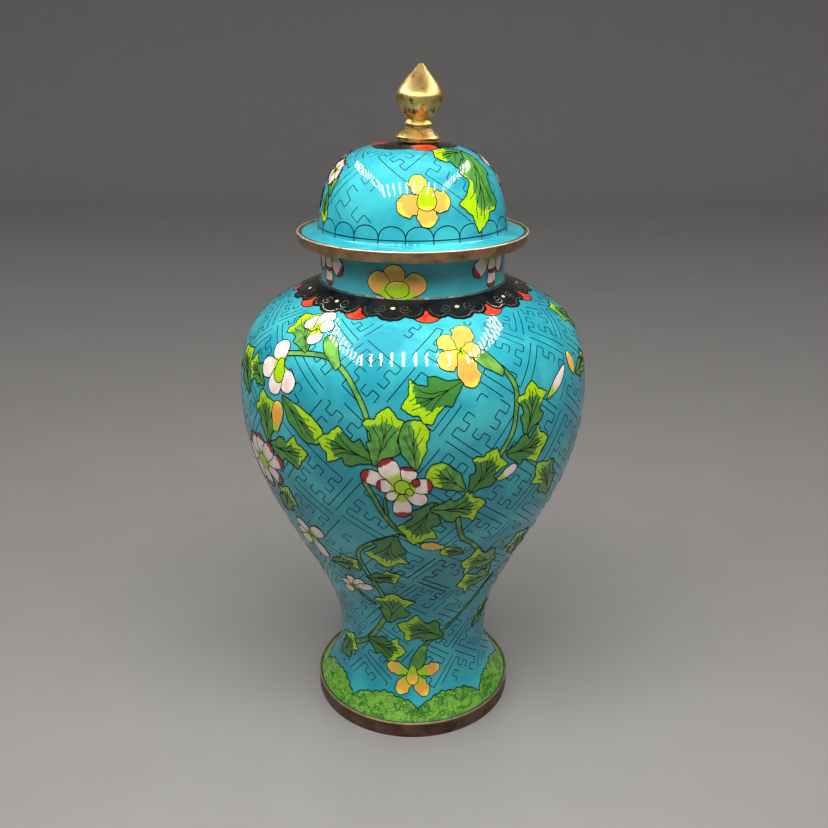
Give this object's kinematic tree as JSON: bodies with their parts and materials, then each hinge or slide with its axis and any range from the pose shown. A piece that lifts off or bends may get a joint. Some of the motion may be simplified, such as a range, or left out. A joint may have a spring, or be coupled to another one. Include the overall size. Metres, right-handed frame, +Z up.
{
  "type": "ginger jar",
  "caption": "Lidded baluster ginger jar in cloisonne enamel on copper, with a lift-off domed lid, a brass finial and bronze bands at lid and foot; hollow and empty inside.",
  "frame": {"origin": "centre of the foot ring's underside, on the jar's axis", "axes": "+Z up along the jar's axis; -Y towards the viewer of the picture; the finial leans slightly towards +X"},
  "size_m": [0.1456, 0.1456, 0.2807],
  "materials": {
    "cloisonne_enamel": "glossy turquoise enamel in wire cells, with flowers and leaves",
    "bronze_band": "dark bronze with a worn bright edge",
    "brass": "polished brass with dark tarnish",
    "copper_ring": "dull bare copper"
  },
  "bodies": {
    "root": {"jar_body": "cloisonne_enamel", "foot_ring": "bronze_band", "mouth_rim": "brass", "lid": "cloisonne_enamel", "lid_rim": "bronze_band", "lid_collar": "copper_ring", "finial": "brass"}
  },
  "joints": []
}
